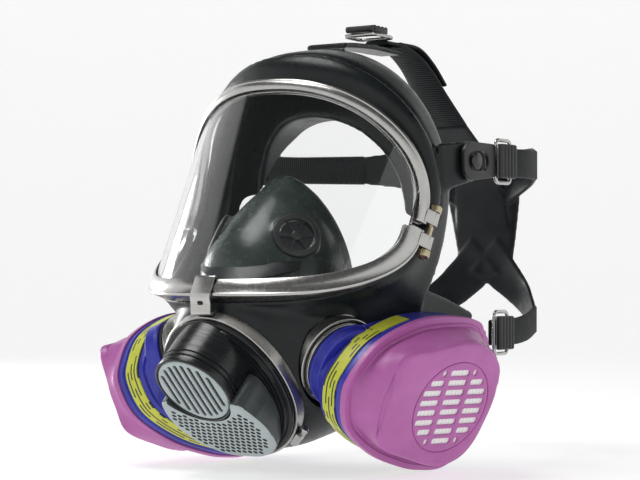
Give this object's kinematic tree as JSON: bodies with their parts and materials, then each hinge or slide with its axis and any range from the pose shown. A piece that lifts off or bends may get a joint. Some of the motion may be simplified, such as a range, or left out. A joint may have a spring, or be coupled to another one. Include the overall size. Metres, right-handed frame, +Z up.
{
  "type": "full-face respirator",
  "caption": "Full-face rubber respirator with a curved clear visor, speech and exhalation housing, slotted side filters and a buckled head harness.",
  "frame": {"origin": "inside the mask on its middle plane, at the height of the visor's middle, in the plane of the visor's side ends, where the wearer's face is", "axes": "+X to the wearer's left, -Y forwards out of the visor, +Z up"},
  "size_m": [0.2328, 0.2835, 0.2423],
  "materials": {
    "mask_rubber": "smooth matt, faintly glossy",
    "lens_clear": "clear, polished",
    "steel": "bright, polished along the band",
    "black_plastic": "satin to glossy",
    "grey_plastic": "satin, light blue-grey",
    "white_rubber": "soft, translucent white",
    "gasket_rubber": "matt",
    "filter_blue": "satin royal blue",
    "filter_magenta": "satin magenta",
    "filter_media": "pleated white fibre",
    "label_yellow": "yellow-green film",
    "cup_rubber": "smooth, glossy green-black"
  },
  "bodies": {
    "mask": {"buckle_frame_forehead": "steel", "buckle_frame_neck_left": "steel", "buckle_frame_neck_right": "steel", "buckle_frame_temple_left": "steel", "buckle_frame_temple_right": "steel", "centre_clip": "steel", "connector_left": "steel", "connector_right": "steel", "cup_valve_seat_left": "black_plastic", "cup_valve_seat_right": "black_plastic", "diaphragm_ring": "black_plastic", "exhalation_housing": "black_plastic", "exhalation_shield": "grey_plastic", "exhale_valve_seat": "black_plastic", "face_blank": "mask_rubber", "filter_gasket_left": "gasket_rubber", "filter_gasket_right": "gasket_rubber", "frame_nut_left": "steel", "frame_nut_right": "steel", "frame_screw_left": "steel", "frame_screw_right": "steel", "head_harness": "mask_rubber", "nose_cup": "cup_rubber", "port_clamp_band": "steel", "port_clamp_screw": "steel", "side_clamp_band_left": "steel", "side_clamp_band_right": "steel", "side_clamp_screw_left": "steel", "side_clamp_screw_right": "steel", "speech_diaphragm": "lens_clear", "speech_grille": "grey_plastic", "temple_stud_left": "steel", "temple_stud_right": "steel", "temple_tab_left": "black_plastic", "temple_tab_right": "black_plastic", "visor_frame_lower": "steel", "visor_frame_upper": "steel", "visor_lens": "lens_clear"},
    "filter_left": {"filter_body_left": "filter_blue", "filter_cover_left": "filter_magenta", "filter_media_left": "filter_media", "filter_label_left": "label_yellow"},
    "filter_right": {"filter_body_right": "filter_blue", "filter_cover_right": "filter_magenta", "filter_media_right": "filter_media", "filter_label_right": "label_yellow"},
    "exhale_valve": {"exhale_valve_disc": "white_rubber"},
    "inhale_valve_left": {"inhale_valve_disc_left": "white_rubber"},
    "inhale_valve_right": {"inhale_valve_disc_right": "white_rubber"},
    "cup_valve_left": {"cup_valve_disc_left": "gasket_rubber"},
    "cup_valve_right": {"cup_valve_disc_right": "gasket_rubber"},
    "lever_forehead": {"buckle_lever_forehead": "black_plastic"},
    "lever_temple_left": {"buckle_lever_temple_left": "black_plastic"},
    "lever_neck_left": {"buckle_lever_neck_left": "black_plastic"},
    "lever_temple_right": {"buckle_lever_temple_right": "black_plastic"},
    "lever_neck_right": {"buckle_lever_neck_right": "black_plastic"}
  },
  "joints": [
    {"name": "filter_twist_left", "type": "hinge", "parent": "mask", "child": "filter_left", "pos_m": [0.0485, -0.0485, -0.0895], "axis": [-0.8991, 0.2497, 0.3596], "range_deg": [0, 30]},
    {"name": "filter_twist_right", "type": "hinge", "parent": "mask", "child": "filter_right", "pos_m": [-0.0485, -0.0485, -0.0895], "axis": [-0.8991, -0.2497, -0.3596], "range_deg": [0, 30]},
    {"name": "exhale_valve_lift", "type": "slide", "parent": "mask", "child": "exhale_valve", "axis": [0, -0.866, -0.5], "range_m": [0, 0.0015], "stiffness_N_per_m": 60, "springref_m": -0.001},
    {"name": "inhale_valve_lift_left", "type": "slide", "parent": "mask", "child": "inhale_valve_left", "axis": [-0.8991, 0.2497, 0.3596], "range_m": [0, 0.0015], "stiffness_N_per_m": 60, "springref_m": -0.001},
    {"name": "inhale_valve_lift_right", "type": "slide", "parent": "mask", "child": "inhale_valve_right", "axis": [0.8991, 0.2497, 0.3596], "range_m": [0, 0.0015], "stiffness_N_per_m": 60, "springref_m": -0.001},
    {"name": "cup_valve_lift_left", "type": "slide", "parent": "mask", "child": "cup_valve_left", "axis": [-0.721, 0.5507, -0.4206], "range_m": [0, 0.0012], "stiffness_N_per_m": 60, "springref_m": -0.001},
    {"name": "cup_valve_lift_right", "type": "slide", "parent": "mask", "child": "cup_valve_right", "axis": [0.721, 0.5507, -0.4206], "range_m": [0, 0.0012], "stiffness_N_per_m": 60, "springref_m": -0.001},
    {"name": "lever_open_forehead", "type": "hinge", "parent": "mask", "child": "lever_forehead", "pos_m": [0, 0.03622, 0.09047], "axis": [1, 0, 0], "range_deg": [0, 60]},
    {"name": "lever_open_temple_left", "type": "hinge", "parent": "mask", "child": "lever_temple_left", "pos_m": [0.08583, 0.0483, 0.015], "axis": [0, 0, -1], "range_deg": [0, 60]},
    {"name": "lever_open_neck_left", "type": "hinge", "parent": "mask", "child": "lever_neck_left", "pos_m": [0.07393, 0.06446, -0.078], "axis": [0, 0, -1], "range_deg": [0, 60]},
    {"name": "lever_open_temple_right", "type": "hinge", "parent": "mask", "child": "lever_temple_right", "pos_m": [-0.08583, 0.0483, 0.015], "axis": [0, 0, 1], "range_deg": [0, 60]},
    {"name": "lever_open_neck_right", "type": "hinge", "parent": "mask", "child": "lever_neck_right", "pos_m": [-0.07393, 0.06446, -0.078], "axis": [0, 0, 1], "range_deg": [0, 60]}
  ]
}
